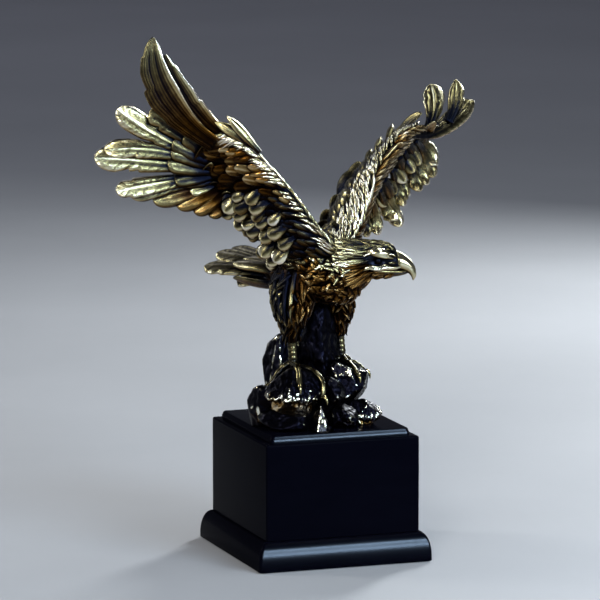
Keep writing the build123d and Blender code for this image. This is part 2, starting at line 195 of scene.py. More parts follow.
def feather(casting, path, up, width, thick, rng, cell=1.5, root=0.5, widest=0.6, sharp=0.6, blunt=2.0,
            taper=0.5, cup=0.2, ridge=0.4, shaft_width=0.13, ribs=0, clump=0.0, groove=0.3, notches=0,
            shade=0.0, puff=0.0, spread=0.06, rim=0.14, painted_highlight_side=0, keel=0.26, brown=(0.0, 0.0),
            root_dark=(0.5, 0.5), rib_wear=0.42):
    """One cast feather: a closed shell along a bowed path, with a shaft, barb clumps and notches.

    up is the way its better face looks, root its width at the root as a share of the widest, sharp
    where the tip starts to narrow, blunt and taper how round the tip is.  cup bends the edges down,
    ribs are lengthwise ridges, clump is the spacing of the splits between the barbs, puff swells
    it, shade moves its polish, spread is how far that varies, rim polishes its edge (on both sides
    unless a side is given; then only that edge, a painted highlight on the lit side), keel its shaft,
    the painted warm reflection is given by its share at root and at tip, and root_dark how much darker
    the root is and how far that goes."""
    start, middle, end = path
    reach = np.linalg.norm(middle - start) + np.linalg.norm(end - middle)
    nu = int(np.clip(reach / cell, 7, 70)) + 1
    nv = int(np.clip(width / cell, 4, 32)) // 2 * 2 + 1
    x = np.linspace(0, 1, nu)
    x = x * (1.4 - 0.4 * x)
    t = x[:, None]
    control = 2 * middle - (start + end) / 2
    centre = bow_point(path, t)
    tangent = unit(2 * (1 - t) * (control - start) + 2 * t * (end - control))
    normal = unit(up - np.sum(up * tangent, -1, keepdims=True) * tangent)
    across = np.cross(normal, tangent)
    narrowing = np.clip((x - sharp) / (1 - sharp), 0, 1)
    outline = (root + (1 - root) * smooth(0, widest, x)) * np.maximum(1 - narrowing ** blunt, 0) ** taper
    half = np.maximum(width / 2 * outline, 0.05 * width)
    sides = np.ones((2, nu))
    for _ in range(notches):
        at, deep = rng.uniform(0.3, 0.9), rng.uniform(0.12, 0.30)
        past = np.clip((x - at) / 0.015, 0, 1) * np.clip(1 - (x - at) / 0.14, 0, 1)
        sides[rng.integers(2)] *= 1 - deep * past
    s_top = np.linspace(-1, 1, nv)
    s_top = np.sign(s_top) * np.abs(s_top) ** 0.85
    s = np.concatenate([s_top, s_top[-2:0:-1]])[None, :]
    face = np.concatenate([np.ones(nv), -np.ones(nv - 2)])[None, :]
    y = s * half[:, None] * np.where(s < 0, sides[0][:, None], sides[1][:, None])
    edge = np.abs(s)
    dome = np.sqrt(np.maximum(1 - edge ** 3.5, 0))
    plump = thick / 2 * (1 - 0.5 * t ** 4) + puff * np.sin(math.pi * np.clip(t, 0, 1)) ** 0.8
    shaft = np.exp(-(s / shaft_width) ** 2) * (1 - smooth(0.86, 0.98, t))
    beside = np.exp(-((edge - 0.3) / 0.11) ** 2) * (1 - smooth(0.8, 0.95, t))
    split = np.zeros((nu, s.shape[1]))
    if clump:
        lane = t * reach - np.abs(y) * 1.25
        for side in (-1, 1):
            at = rng.uniform(0, clump)
            while at < reach:
                hit = np.exp(-((lane - at) / (0.42 * cell)) ** 2)
                split += hit * (np.sign(s) == side) * smooth(0.12, 0.4, edge) * rng.uniform(0.5, 1.0)
                at += clump * rng.uniform(0.55, 1.5)
    split = np.minimum(split, 1)
    wander = rng.uniform(-0.6, 0.6) + 1.5 * np.sin(4 * t + rng.uniform(0, 6))
    detail = ridge * shaft - groove * beside - groove * 1.3 * split
    if ribs:
        waves = 0.5 + 0.5 * np.cos(2 * math.pi * ribs * s + wander)
        detail = detail + 0.9 * groove * (waves - 0.5)
    height = face * (plump * dome + detail * dome) - cup * half[:, None] * edge ** 1.8
    verts = centre[:, None] + across[:, None] * y[..., None] + normal[:, None] * height[..., None]
    # Edges are polished; when one side is given only that edge is brightened, a painted highlight on the lit
    # side.
    rubbed_and_highlit = edge ** 4 if painted_highlight_side == 0 else edge ** 4.2 * smooth(0.0, 0.3, s * painted_highlight_side)
    wear = 0.50 + keel * shaft + rim * rubbed_and_highlit - 0.30 * beside - 0.45 * split + 0.34 * t
    if ribs:
        wear = wear + rib_wear * (waves - 0.6)
    wear = wear - root_dark[0] * (1 - smooth(0.02, root_dark[1], t)) + shade + rng.uniform(-spread, spread)
    # The painted warm reflection, from its share at the root to its share at the tip.
    painted_reflection_here = brown[0] + (brown[1] - brown[0]) * t
    wear, painted_reflection_here, along, _ = np.broadcast_arrays(wear, painted_reflection_here, t * reach, height)
    plume = np.stack([along, np.abs(y), np.ones_like(y)], -1)
    casting.add(verts.reshape(-1, 3), ring_faces(*y.shape), wear.ravel(), plume.reshape(-1, 3),
                painted_reflection_here.ravel())


def cover(casting, tube, s, phi, way, length, width, thick, rng, tilt=0.8, sink=0.5, toward=None, **more):
    """A small feather that lies on a limb, its root sunk and its tip standing off by tilt.

    way is (share along the limb, share round it), toward a way that its face is turned to."""
    _, along, around, normal = tube.axes(s, phi)
    heading = unit(along) * way[0] + unit(around) * way[1]
    heading = heading / max(np.linalg.norm(heading), 1e-6)
    steps = np.linalg.lstsq(np.stack([along, around], axis=1), heading * length, rcond=None)[0]
    points = []
    for share, rise in ((0.0, -sink), (0.5, tilt * 0.6), (1.0, tilt)):
        s_at, phi_at = s + steps[0] * share, phi + steps[1] * share
        inside = float(np.clip(s_at, 0, 1))
        at = tube.point(inside, phi_at) + along * (s_at - inside)
        points.append(at + tube.axes(inside, phi_at)[3] * rise)
    up = normal if toward is None else unit(normal + toward + rng.normal(size=3) * 0.22)
    feather(casting, points, up, width, thick, rng, **more)


def ring_places(tube, s, spacing, fewest, odd, wobble, rng):
    """Angles of one ring of feathers round a limb.  Those of an odd ring are half a step further."""
    _, a, b = tube.section(s)
    count = max(fewest, int((np.linalg.norm(a) + np.linalg.norm(b)) * math.pi / spacing))
    for k in range(count):
        yield 2 * math.pi * (k + 0.5 * odd) / count + rng.uniform(-wobble, wobble)


def cover_row(casting, tube, phi_deg, span, step, way, length, width, rng, shift=0.0, **more):
    """A row of small feathers along a limb at one place round it.  span is its share of the limb."""
    first, last = span
    reach = np.linalg.norm(tube.point(last, math.radians(phi_deg)) - tube.point(first, math.radians(phi_deg)))
    count = max(2, int(round(reach / step)))
    for k in range(count):
        s = first + (last - first) * (k + 0.5 + shift) / count
        size = 1 + rng.uniform(-0.2, 0.2)
        phi = math.radians(phi_deg + rng.uniform(-9, 9))
        turn = (way[0] + rng.uniform(-0.3, 0.3), way[1] + rng.uniform(-0.3, 0.3))
        look = dict(more)
        # Each feather gets a little more or less of the painted warm reflection.
        if "brown" in look:
            look["brown"] = np.array(look["brown"]) * rng.uniform(0.6, 1.1)
        cover(casting, tube, s, phi, turn, length * size, width * size, 1.3, rng, **look)


def hang(casting, tube, s, phi, way, length, width, rng, bow=0.0, lift=0.0, toward=None, **more):
    """A free feather rooted on a limb: way is (along the limb, towards its trailing edge)."""
    here, along, _, normal = tube.axes(s, phi)
    _, a, b = tube.section(s)
    face = unit(b) * (1.0 if math.sin(phi) > 0 else -1.0)
    heading = unit(unit(along) * way[0] - unit(a) * way[1] + face * lift)
    if toward is not None:
        heading = unit(heading - 0.85 * np.dot(heading, unit(toward)) * unit(toward))
    start = here - normal * 0.8
    end = start + heading * length
    middle = (start + end) / 2 + face * bow
    if toward is not None:
        face = unit(face + toward + rng.normal(size=3) * 0.6)
    feather(casting, (start, middle, end), face, width, 1.5, rng, **more)


def knob(casting, centre, radii, wear):
    """A closed ball with three radii."""
    rings, around = 12, 18
    lat = np.linspace(0.08, math.pi - 0.08, rings)[:, None]
    lon = np.linspace(0, 2 * math.pi, around, endpoint=False)[None, :]
    out = np.sin(lat)
    ball = np.stack(np.broadcast_arrays(out * np.cos(lon), out * np.sin(lon), np.cos(lat)), -1)
    casting.add((centre + ball * radii).reshape(-1, 3), ring_faces(rings, around), wear)


def rod_tube(points, radii, side=UP):
    """A round limb through points, each with its radius or (radius along side, radius across)."""
    points = np.asarray(points, float)
    sections = []
    for i, radius in enumerate(radii):
        before, after = points[max(i - 1, 0)], points[min(i + 1, len(points) - 1)]
        tangent = unit(after - before)
        first = unit(side - np.dot(side, tangent) * tangent)
        second = np.cross(tangent, first)
        r1, r2 = radius if isinstance(radius, tuple) else (radius, radius)
        sections.append((points[i], first * r1, second * r2))
    return Tube(sections)


# ---- materials ------------------------------------------------------------------------------
class Graph:
    """A node tree with a short way to add each kind of node.  A value is a number or a socket."""

    def __init__(self, tree):
        self.tree = tree
        self.shader = tree.nodes.get("Principled BSDF")

    def put(self, socket, value):
        if isinstance(value, bpy.types.NodeSocket):
            self.tree.links.new(value, socket)
        elif value is not None:
            socket.default_value = value

    def node(self, kind, **settings):
        made = self.tree.nodes.new("ShaderNode" + kind)
        for key, value in settings.items():
            if key in made.inputs:
                self.put(made.inputs[key], value)
            else:
                setattr(made, key, value)
        return made

    def math(self, operation, a, b=None, clamp=False):
        made = self.node("Math", operation=operation, use_clamp=clamp)
        self.put(made.inputs[0], a)
        self.put(made.inputs[1], b)
        return made.outputs[0]

    def times(self, a, b, clamp=False):
        return self.math("MULTIPLY", a, b, clamp)

    def add(self, *terms):
        total = terms[0]
        for term in terms[1:]:
            total = self.math("ADD", total, term)
        return total

    def ramp(self, factor, stops):
        made = self.node("ValToRGB", Fac=factor)
        elements = made.color_ramp.elements
        while len(elements) < len(stops):
            elements.new(0.5)
        for element, (position, colour) in zip(elements, stops):
            element.position = position
            element.color = (*colour, 1.0)
        return made.outputs[0]

    def mix(self, factor, a, b):
        made = self.node("Mix", data_type="RGBA")
        for index, value in ((0, factor), (6, a), (7, b)):
            self.put(made.inputs[index], value)
        return made.outputs[2]

    def noise(self, scale, detail=3.0, roughness=0.5, stretch=None):
        place = self.node("TexCoord").outputs["Object"]
        if stretch:
            place = self.node("Mapping", Vector=place, Scale=stretch).outputs[0]
        return self.node("TexNoise", Scale=scale, Detail=detail, Roughness=roughness,
                         Vector=place).outputs["Fac"]

    def finish(self, colour, rough, polish, height, strength, depth):
        """Colour, roughness from rough[0] to rough[1] as polish goes from 0 to 1, and bump."""
        gloss = self.node("MapRange", Value=polish)
        gloss.inputs["To Min"].default_value, gloss.inputs["To Max"].default_value = rough
        bump = self.node("Bump", Strength=strength, Distance=depth, Height=height)
        self.put(self.shader.inputs["Base Color"], colour)
        self.put(self.shader.inputs["Roughness"], gloss.outputs[0])
        self.put(self.shader.inputs["Normal"], bump.outputs[0])


def new_material(name):
    material = bpy.data.materials.new(name)
    material.use_nodes = True
    return material, Graph(material.node_tree)


EAGLE_STOPS = [
    (0.0, (0.003, 0.004, 0.009)),
    (0.22, (0.010, 0.011, 0.015)),
    (0.42, (0.078, 0.066, 0.030)),
    (0.62, (0.36, 0.31, 0.145)),
    (0.80, (0.84, 0.77, 0.51)),
    (0.95, (1.0, 0.96, 0.84)),
]
ROCK_STOPS = [
    (0.0, (0.003, 0.003, 0.006)),
    (0.40, (0.010, 0.010, 0.014)),
    (0.62, (0.045, 0.040, 0.030)),
    (0.78, (0.46, 0.43, 0.27)),
    (1.0, (0.93, 0.94, 0.84)),
]
# Colours of the painted warm reflection, which faces that look down get in place of the bronze colours.
PAINTED_REFLECTION_STOPS = [
    (0.0, (0.005, 0.002, 0.001)),
    (0.22, (0.018, 0.007, 0.001)),
    (0.45, (0.085, 0.034, 0.005)),
    (0.70, (0.24, 0.11, 0.016)),
    (1.0, (0.56, 0.34, 0.10)),
]
BARBS_PER_MM = 6.0 / (2 * math.pi)
BARB_SLANT = 1.5


def bronze(name, stops, rough):
    """Antique bronze: bright where handling would rub it, dark patina in the recesses, and a painted warm
    reflection underneath.
    """
    material, g = new_material(name)
    wear = g.node("Attribute", attribute_name="wear").outputs["Fac"]
    brown = g.node("Attribute", attribute_name="brown").outputs["Fac"]
    plume = g.node("Attribute", attribute_name="plume").outputs["Vector"]
    along, across, is_plume = g.node("SeparateXYZ", Vector=plume).outputs
    shelter = g.node("AmbientOcclusion", samples=8, Distance=0.009).outputs["AO"]
    geometry = g.node("NewGeometry").outputs
    edges = g.times(g.math("SUBTRACT", geometry["Pointiness"], 0.5), 1.5)
    patch = g.noise(170.0, 4.0)
    fine = g.noise(1100.0)
    polish = g.add(g.times(wear, 0.62), edges, g.times(shelter, 0.62), g.times(patch, 0.34),
                   g.times(fine, 0.12))
    polish = g.math("ADD", polish, -0.80, clamp=True)
    # Faces that look down, and points marked for it, take the warm ramp: a painted warm reflection from
    # below, weaker where polished.
    up = g.node("SeparateXYZ", Vector=geometry["Normal"]).outputs[2]
    under = g.times(g.add(up, 0.08), -2.2, clamp=True)
    under = g.math("MAXIMUM", g.times(under, 0.92), brown)
    under = g.times(under, g.math("SUBTRACT", 1.2, g.times(polish, 0.55)), clamp=True)
    colour = g.mix(under, g.ramp(polish, stops), g.ramp(polish, PAINTED_REFLECTION_STOPS))
    lane = g.math("SUBTRACT", along, g.times(across, BARB_SLANT))
    barbs = g.math("SINE", g.times(lane, 2 * math.pi * BARBS_PER_MM))
    barbs = g.times(barbs, g.times(is_plume, 0.5))
    height = g.add(barbs, g.times(fine, 0.8), g.times(patch, 1.4))
    g.finish(colour, rough, polish, height, 0.4, 0.18 * MM)
    g.shader.inputs["Metallic"].default_value = 1.0
    return material


def lacquer(name):
    """Black lacquer over close-grained wood."""
    material, g = new_material(name)
    grain = g.noise(1.0, 6.0, 0.62, (24.0, 24.0, 120.0))
    tone = g.add(g.times(grain, 0.6), g.times(g.noise(22.0, 4.0), 0.4))
    colour = g.ramp(tone, [(0.3, (0.0009, 0.0010, 0.0026)), (0.75, (0.0015, 0.0016, 0.0038))])
    height = g.add(g.times(grain, 0.5), g.times(g.noise(2600.0, 2.0), 0.25))
    g.finish(colour, (0.17, 0.23), tone, height, 0.12, 0.08 * MM)
    g.shader.inputs["Specular IOR Level"].default_value = 0.02
    g.shader.inputs["IOR"].default_value = 1.22
    return material


def patterned(name, stops, scale, rough, bump_mm, stretch=(1, 1, 1), metallic=0.0):
    """A plain material with a stretched noise in its colour, gloss and bump."""
    material, g = new_material(name)
    tone = g.noise(scale, 5.0, 0.6, stretch)
    g.finish(g.ramp(tone, stops), rough, tone, tone, 0.4, bump_mm * MM)
    g.shader.inputs["Metallic"].default_value = metallic
    return material


eagle_bronze = bronze("eagle_bronze", EAGLE_STOPS, (0.32, 0.11))
rock_bronze = bronze("rock_bronze", ROCK_STOPS, (0.36, 0.16))
black_lacquer = lacquer("black_lacquer")
pale_wood = patterned("bare_softwood", [(0.3, (0.50, 0.33, 0.17)), (0.7, (0.70, 0.52, 0.31))], 1.0,
                      (0.4, 0.6), 0.1, stretch=(40, 40, 500))
felt_black = patterned("felt", [(0.3, (0.008, 0.008, 0.009)), (0.7, (0.035, 0.035, 0.038))], 900.0,
                       (0.9, 1.0), 0.5)
steel = patterned("plated_steel", [(0.3, (0.42, 0.42, 0.43)), (0.7, (0.60, 0.60, 0.62))], 700.0,
                  (0.25, 0.42), 0.05, metallic=1.0)


# ---- base -----------------------------------------------------------------------------------
def rounded_rectangle(half_x, half_y, radius):
    """Points round a rectangle with rounded corners, the same number whatever its size."""
    points = []
    for corner, (sx, sy) in enumerate(((1, -1), (1, 1), (-1, 1), (-1, -1))):
        for step in range(7):
            angle = math.radians(-90 + 90 * corner + 90 * step / 6)
            points.append((sx * (half_x - radius) + radius * math.cos(angle),
                           sy * (half_y - radius) + radius * math.sin(angle)))
    return points


def solid_of_rings(name, rings, material, node_name):
    """A closed solid through rings of points, smooth except across its hard edges."""
    casting = Casting()
    casting.add(np.array(rings).reshape(-1, 3), ring_faces(len(rings), len(rings[0])), 0.5)
    piece = casting.build(name, material, [node_name])
    bm = bmesh.new()
    bm.from_mesh(piece.data)
    for edge in bm.edges:
        if len(edge.link_faces) == 2 and edge.calc_face_angle(0) > HARD_EDGE:
            edge.smooth = False
    bm.to_mesh(piece.data)
    bm.free()
    return piece


def stacked(name, levels, material, node_name):
    """A solid through rounded rectangles.  Each level is (half x, half y, corner radius, height)."""
    rings = [[(x, y, z) for x, y in rounded_rectangle(hx, hy, r)] for hx, hy, r, z in levels]
    return solid_of_rings(name, rings, material, node_name)


HARD_EDGE = math.radians(35)
QUARTER = [(math.cos(turn), math.sin(turn)) for turn in np.linspace(0, math.pi / 2, 13)]
foot_low, foot_high = mm_box("plinth_board")
panel_low, panel_high = mm_box("front_panel")
top_low, top_high = mm_box("top_board")
felt_high = mm_box("felt_pad")[1]
block_x, block_y = panel_high[0], -panel_low[1]
panel_top = panel_high[2]

FOOT_FLAT = 4.0         # height of the moulding's upright edge
FOOT_SHELF = 0.4
FOOT_CHAMFER = 0.7
FOOT_CORNER = 1.8
foot_x, foot_y, foot_top = foot_high
levels = [
    (foot_x - FOOT_CHAMFER, foot_y - FOOT_CHAMFER, 1.4, foot_low[2]),
    (foot_x - FOOT_CHAMFER * 0.3, foot_y - FOOT_CHAMFER * 0.3, 1.6, foot_low[2] + FOOT_CHAMFER * 0.3),
    (foot_x, foot_y, FOOT_CORNER, foot_low[2] + FOOT_CHAMFER),
]
for across, up in QUARTER:
    inset = (foot_x - block_x - FOOT_SHELF) * (1 - across)
    levels.append((foot_x - inset, foot_y - inset, FOOT_CORNER, FOOT_FLAT + (foot_top - FOOT_FLAT) * up))
levels.append((block_x - 3, block_y - 3, 1.0, foot_top))
foot_board = stacked("moulded_foot_board", levels, black_lacquer, "plinth_board")

SLAB_STEP = 2.1         # height of the slab's upright edge
SLAB_SLOPE = 0.6
SLAB_ROUND = 0.8
SLAB_CORNER = 2.4
PLUG_INSET = 10.2       # from the block's face to the part that drops between the panels
slab_x, slab_y, slab_top = top_high
plug = (block_x - PLUG_INSET, block_y - PLUG_INSET, 0.5)
slope_foot = panel_top + SLAB_STEP
levels = [
    (*plug, top_low[2]), (*plug, panel_top), (slab_x, slab_y, SLAB_CORNER, panel_top),
    (slab_x, slab_y, SLAB_CORNER, slope_foot), (slab_x - 0.15, slab_y - 0.15, SLAB_CORNER, slope_foot + 0.25),
]
for across, up in QUARTER[3:]:
    inset = SLAB_SLOPE + SLAB_ROUND * (1 - across)
    levels.append((slab_x - inset, slab_y - inset, SLAB_CORNER, slab_top - SLAB_ROUND + SLAB_ROUND * up))
top_slab = stacked("raised_top_slab", levels, black_lacquer, "top_board")

felt_x, felt_y, felt_top = felt_high
levels = [(felt_x - 0.3, felt_y - 0.3, 4.0, 0.0), (felt_x, felt_y, 4.0, 0.3), (felt_x, felt_y, 4.0, felt_top)]
stacked("felt", levels, felt_black, "felt_pad").data.shade_flat()

PANEL_CORNER = 1.3
PANEL_THICKNESS = 10.0


def side_panel(side, half, offset, turn):
    """One mitred side of the block, with half of the rounded corner at each end."""
    low, high = mm_box(side + "_panel")
    inner = offset - PANEL_THICKNESS
    rings = []
    for inset, z in ((0.3, low[2]), (0.0, low[2] + 0.4), (0.0, high[2] - 1.1), (0.12, high[2] - 0.6),
                     (0.4, high[2] - 0.2), (0.9, high[2])):
        ring = []
        for step in range(5):
            angle = math.radians(225 + 45 * step / 4)
            ring.append((-half + inset + PANEL_CORNER + PANEL_CORNER * math.cos(angle),
                         -offset + inset + PANEL_CORNER + PANEL_CORNER * math.sin(angle), z))
        ring += [(-x, y, z) for x, y, z in reversed(ring)]
        ring += [(half - PANEL_THICKNESS, -inner, z), (-half + PANEL_THICKNESS, -inner, z)]
        rings.append(ring)
    c, s = math.cos(math.radians(turn)), math.sin(math.radians(turn))
    rings = np.array(rings) @ np.array([[c, s, 0], [-s, c, 0], [0, 0, 1]])
    solid_of_rings("block_" + side, rings, black_lacquer, side + "_panel")


side_panel("front", block_x, block_y, 0)
side_panel("right", block_y, block_x, 90)
side_panel("back", block_x, block_y, 180)
side_panel("left", block_y, block_x, 270)

for name, cad_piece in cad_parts.items():
    if name.startswith("corner_block"):
        look = pale_wood
    elif "screw" in name or "stud" in name or name.endswith("_pin"):
        look = steel
    else:
        continue
    cad_piece.data.materials.clear()
    cad_piece.data.materials.append(look)

# ---- eagle: body ----------------------------------------------------------------------------
rng = np.random.default_rng(7)
HEAD_CENTRE = bird((26.5, 24, 185.5))

# Kinds of feather, as settings of feather().
LUMP = dict(cell=1.1, ridge=0.0, cup=0.22, root=0.75, widest=0.35, sharp=0.6, blunt=2.2, groove=0.0,
            spread=0.22, rim=-0.25)
OVAL = dict(LUMP, cup=0.1, sharp=0.5, puff=0.8, spread=0.1)
SPOON = dict(LUMP, keel=-0.6, ridge=-0.7, shaft_width=0.15, rim=0.1, puff=0.2, root=0.45, widest=0.7,
             sharp=0.66)
# Rounded lobes with a painted warm reflection.
LOBE = dict(LUMP, clump=0, notches=0, puff=0.9, shade=-0.05, brown=(1.2, 0.7), shaft_width=0.2)
# Darker lumps with a strong painted warm reflection, varying a lot.
PAINTED_REFLECTION_LUMP = dict(LUMP, shade=-0.12, brown=(1.2, 1.0), spread=0.4)
DARK = dict(LUMP, shade=-0.55)
PLAIN = dict(LUMP, shade=-0.02)
SCALE = dict(LUMP, sharp=0.3, blunt=1.6, taper=0.7)
STREAK = dict(cell=1.0, ridge=0.25, cup=0.3, sharp=0.2, blunt=1.3, taper=0.8, groove=0.1, root=0.6,
              spread=0.22, rim=-0.1)
EDGE = dict(STREAK, shade=0.38)
# Streaks a little brighter, with a painted warm reflection strongest at the root.
PAINTED_REFLECTION_STREAK = dict(STREAK, shade=0.10, brown=(1.15, 0.6), spread=0.4)
FLIGHT = dict(cell=1.1, ridge=0.5, cup=0.12, widest=0.8, sharp=0.82, groove=0.42, root=0.5,
              shaft_width=0.08, rim=0.25)
KEY_FACE = bird((0.654, -0.699, 0.29))      # the way of the faces that catch the most light


def upright(ahead, side, up, wide, high, lean=0.0):
    """A body section: centre, half width across, half height."""
    return (bird((ahead, side, up)), bird((0, wide, 0)), bird((lean, 0, high)))


body_tube = Tube([
    upright(-38, -4, 173, 5, 3),
    upright(-32, -3, 173, 10, 7),
    upright(-22, -2, 175, 15, 12),
    upright(-10, -1, 178, 19, 17),
    upright(4, 0, 180, 20.5, 19.5, -2),
    upright(14, 1, 179, 20, 19.5, -2),
    upright(21, 4, 176, 16, 16.5, -2),
    upright(26, 6, 173, 9, 10, -1),
    upright(27, 7, 172, 3, 4, 0),
])
body = Casting()
# The body shell under the feathers carries the full painted warm reflection.
body_tube.shell(body, 60, 64, 0.2, brown=1.0)
for row in range(25):
    s = 0.965 - 0.037 * row
    size = 3.1 + 0.13 * row
    for phi in ring_places(body_tube, s, size * 0.72, 6, row % 2, 0.10, rng):
        # Feathers on the lower side are mostly set darker, painted shade, and carry a painted warm
        # reflection.
        low = math.sin(phi) < 0.35
        shade = rng.choice((-0.55, -0.35, 0.02)) if low else 0.0
        cover(body, body_tube, s + rng.uniform(-0.012, 0.012), phi, (-1.0, rng.uniform(-1.2, 1.2)),
              size * rng.uniform(1.2, 2.1), size * rng.uniform(0.9, 1.3), 1.3, rng, shade=shade,
              tilt=rng.uniform(0.7, 2.2), brown=(1.1, 0.85) if low else (0.0, 0.0), **SCALE)
body.build("feathered_body", eagle_bronze, ["body"])

# ---- eagle: neck and head -------------------------------------------------------------------


def head_section(ahead, up, wide, high, lean=0.0):
    return (head_point(ahead, 0, up), LOOK_SIDE * wide, UP * high + LOOK_WAY * lean)


skull = Tube([
    (bird((3, -1, 179)), bird((0, -19, 0)), bird((-2, 0, 18.5))),
    (bird((10, 4, 178)), bird((4, -17.5, 0)), bird((-3, 0, 19))),
    (bird((16, 11, 180)), bird((8, -13, 0)), bird((-4, -1, 17.5))),
    head_section(-6, -2.4, 10.8, 12.8, -2),
    head_section(-1, -1.0, 9.8, 10.8),
    head_section(5, -0.8, 9.2, 10.2),
    head_section(10, -1.3, 8.0, 9.3),
    head_section(14, -2.5, 6.3, 7.7),
    head_section(16.5, -3.4, 5.0, 6.2),
    head_section(18.0, -4.2, 3.4, 4.4),
])
EYE = (3.6, -0.8)


def face_dent(s, phi):
    """Sinks the eye sockets into the skull."""
    at = skull.point(s, phi) - HEAD_CENTRE
    ahead, up = at @ LOOK_WAY, at @ UP
    return -2.6 * np.exp(-((ahead - EYE[0]) / 4.2) ** 2 - ((up - EYE[1]) / 2.3) ** 2)


def furrows(s, phi):
    """Shallow lengthwise wrinkles."""
    return 0.22 * np.cos(5 * phi + 9 * s)


def face_ridge(side, points, radii, rings, around, wear, lean=UP, bump=None):
    """A rounded ridge on one side of the face, through (ahead, to the side, up)."""
    line = [head_point(ahead, side * out, up) for ahead, out, up in points]
    rod_tube(line, radii, lean).shell(head, rings, around, wear, bump)


head = Casting()
skull.shell(head, 110, 72, 0.30, face_dent)
BROW = (-5, 8.8, 4.6), (0, 9.4, 5.0), (5, 9.0, 4.3), (9.5, 7.7, 2.6), (13, 6.0, 0.6)
CHEEK = (17.5, 4.4, -5.0), (13, 6.6, -5.3), (8, 8.4, -4.6), (3, 9.6, -5.4), (-2, 10.3, -4.6), (-8, 10.8, -6.4)
LIP = (21, 2.4, -8.0), (17, 4.4, -8.2), (11, 6.8, -7.8), (5, 8.6, -7.4), (1, 9.0, -7.6)
NOSTRIL = (17.2, 5.0, -3.2), (16.4, 5.3, -0.6), (16.0, 4.8, 1.6)
BROW_RADII = (1.0, 0.6), (2.4, 1.3), (3.1, 1.7), (2.6, 1.5), (1.2, 0.8)
CHEEK_RADII = (0.7, 0.5), (1.4, 1.0), (1.9, 1.2), (1.9, 1.2), (1.6, 1.0), (0.6, 0.5)
for side in (-1, 1):
    knob(head, head_point(EYE[0], side * 7.2, EYE[1] - 0.1), (2.5, 2.2, 2.5), 0.15)
    leaning = UP * 0.94 - LOOK_SIDE * side * 0.34
    face_ridge(side, BROW, BROW_RADII, 30, 20, 1.1, leaning, furrows)
    face_ridge(side, CHEEK, CHEEK_RADII, 40, 16, 1.2, leaning, furrows)
    face_ridge(side, LIP, (0.4, 0.8, 1.0, 0.9, 0.4), 24, 12, 0.7)
    face_ridge(side, NOSTRIL, (0.5, 0.9, 0.5), 12, 10, 0.85)


def beak_section(ahead, up, lean, high, wide):
    way = unit(np.array([math.sin(math.radians(lean)), math.cos(math.radians(lean))]))
    return (head_point(ahead, 0, up), LOOK_SIDE * wide, (LOOK_WAY * way[0] + UP * way[1]) * high)


beak = Tube([
    beak_section(13.5, -1.8, 0, 6.6, 6.0),
    beak_section(17.0, -3.0, 14, 5.7, 5.0),
    beak_section(20.5, -4.7, 30, 4.5, 3.9),
    beak_section(23.4, -7.0, 50, 3.2, 2.8),
    beak_section(25.0, -9.8, 76, 2.0, 1.9),
    beak_section(25.6, -12.2, 88, 1.2, 1.2),
    beak_section(25.5, -14.2, 92, 0.3, 0.3),
])


def culmen(s, phi):
    """A keel along the top of the beak."""
    return 0.55 * np.exp(-((phi - math.pi / 2) / 0.28) ** 2) * (1 - smooth(0.7, 1.0, s))


beak.shell(head, 44, 40, 1.1, culmen)
jaw = Tube([
    beak_section(2, -9.2, 0, 2.4, 6.6),
    beak_section(8, -9.6, 0, 2.3, 5.6),
    beak_section(14, -9.8, 0, 2.0, 4.2),
    beak_section(19, -9.5, 0, 1.4, 2.7),
    beak_section(22.3, -9.2, 0, 0.5, 1.0),
])
jaw.shell(head, 30, 24, 0.5)
for row in range(30):
    s = 0.80 - 0.026 * row
    wide = 2.3 + 0.055 * row
    for phi in ring_places(skull, s, wide * 0.86, 8, row % 2, 0.05, rng):
        root = skull.point(s, phi) - HEAD_CENTRE
        ahead, up = root @ LOOK_WAY, root @ UP
        long = (4.5 + 0.36 * row) * rng.uniform(0.8, 1.3)
        if -2 < ahead < EYE[0] + 6 + long and -7.5 < up < 4.5 and abs(math.cos(phi)) > 0.6:
            continue
        # Under the neck the feathers are set darker, painted shade, and carry a painted warm reflection; the
        # crown is set darker and the sides brighter.
        crown = ahead > -8 and math.sin(phi) > 0.55
        cover(head, skull, s, phi, (-1.0, rng.uniform(-0.45, 0.45)), long, wide * 1.1, 1.3, rng,
              tilt=rng.uniform(0.4, 1.1) if crown else rng.uniform(0.6, 2.3), sink=0.6,
              shade=-0.25 if crown else (-0.12 if math.sin(phi) < -0.05 else 0.12),
              brown=(1.0, 0.9) if math.sin(phi) < -0.05 else (0.0, 0.0), **STREAK)
head.build("head_and_neck", eagle_bronze, ["head"])

